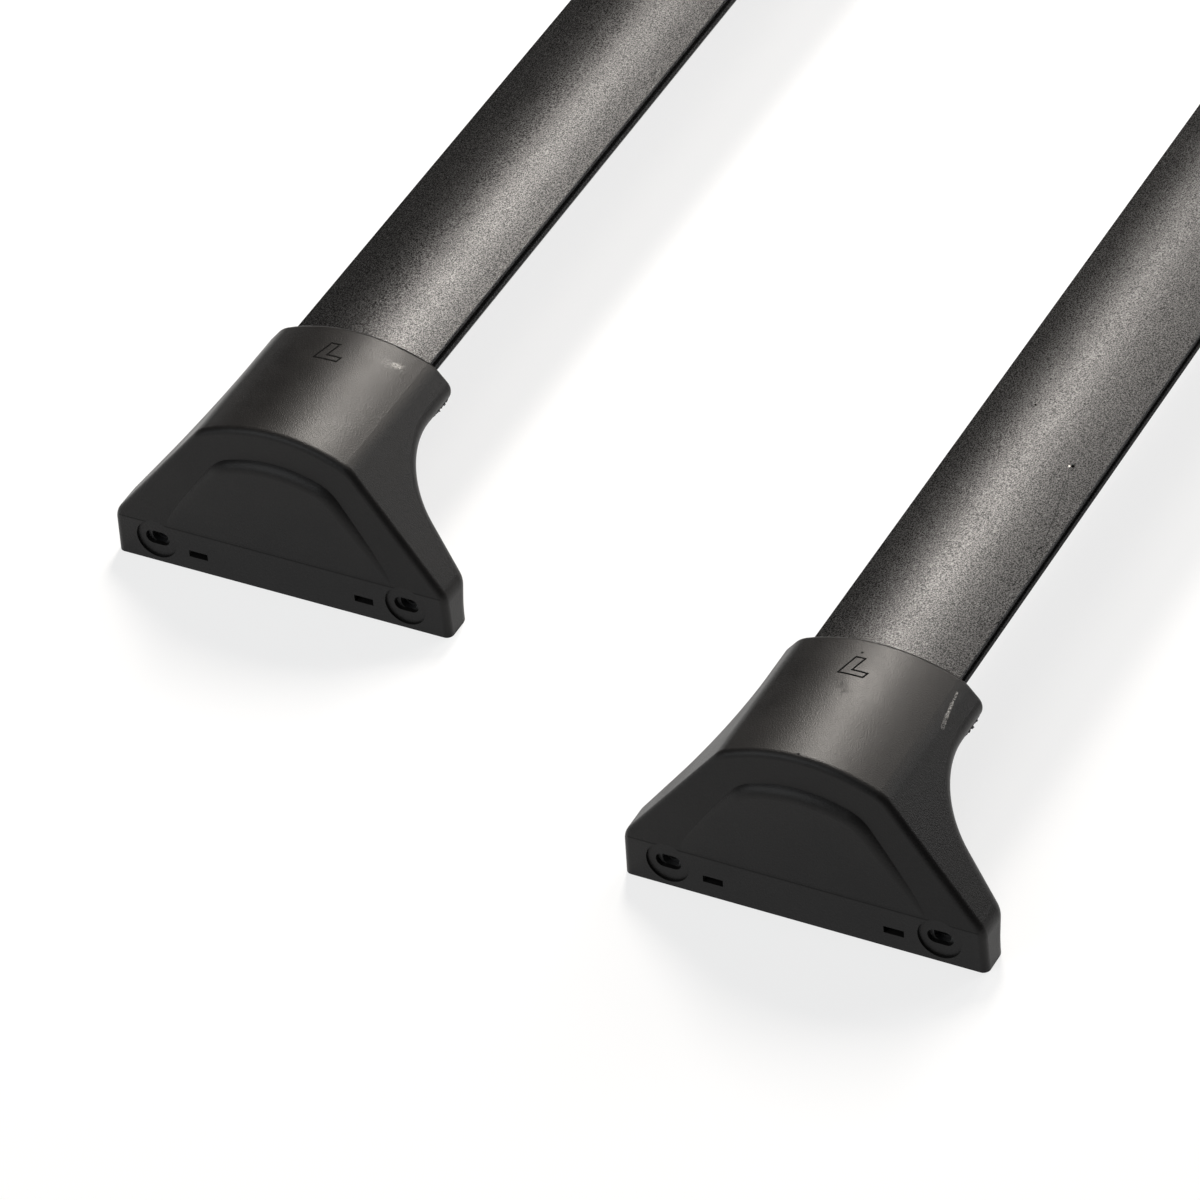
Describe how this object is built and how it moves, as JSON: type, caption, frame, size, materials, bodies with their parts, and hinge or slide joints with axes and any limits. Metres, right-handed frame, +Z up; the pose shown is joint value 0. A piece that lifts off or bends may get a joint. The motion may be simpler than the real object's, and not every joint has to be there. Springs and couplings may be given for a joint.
{
  "type": "pair of roof crossbars",
  "caption": "Arched metal roof crossbars with moulded end feet that bolt to a car's roof rails and carry loads across the roof.",
  "frame": {"origin": "on the ground plane under the middle of the set's box, where the feet stand", "axes": "+X along the bars towards the car's right, +Y towards the car's front, +Z up"},
  "size_m": [1.129, 0.436, 0.0777],
  "materials": {
    "bar": "charcoal powder coat with a fine metallic grain",
    "foot": "black satin moulding",
    "bracket": "dark coated pressed steel",
    "fastener": "plain zinc plated steel"
  },
  "bodies": {
    "root": {"front_bar": "bar", "rear_bar": "bar", "front_left_foot": "foot", "front_right_foot": "foot", "rear_left_foot": "foot", "rear_right_foot": "foot", "front_left_bracket": "bracket", "front_right_bracket": "bracket", "rear_left_bracket": "bracket", "rear_right_bracket": "bracket", "front_left_bolts": "fastener", "front_right_bolts": "fastener", "rear_left_bolts": "fastener", "rear_right_bolts": "fastener"}
  },
  "joints": []
}
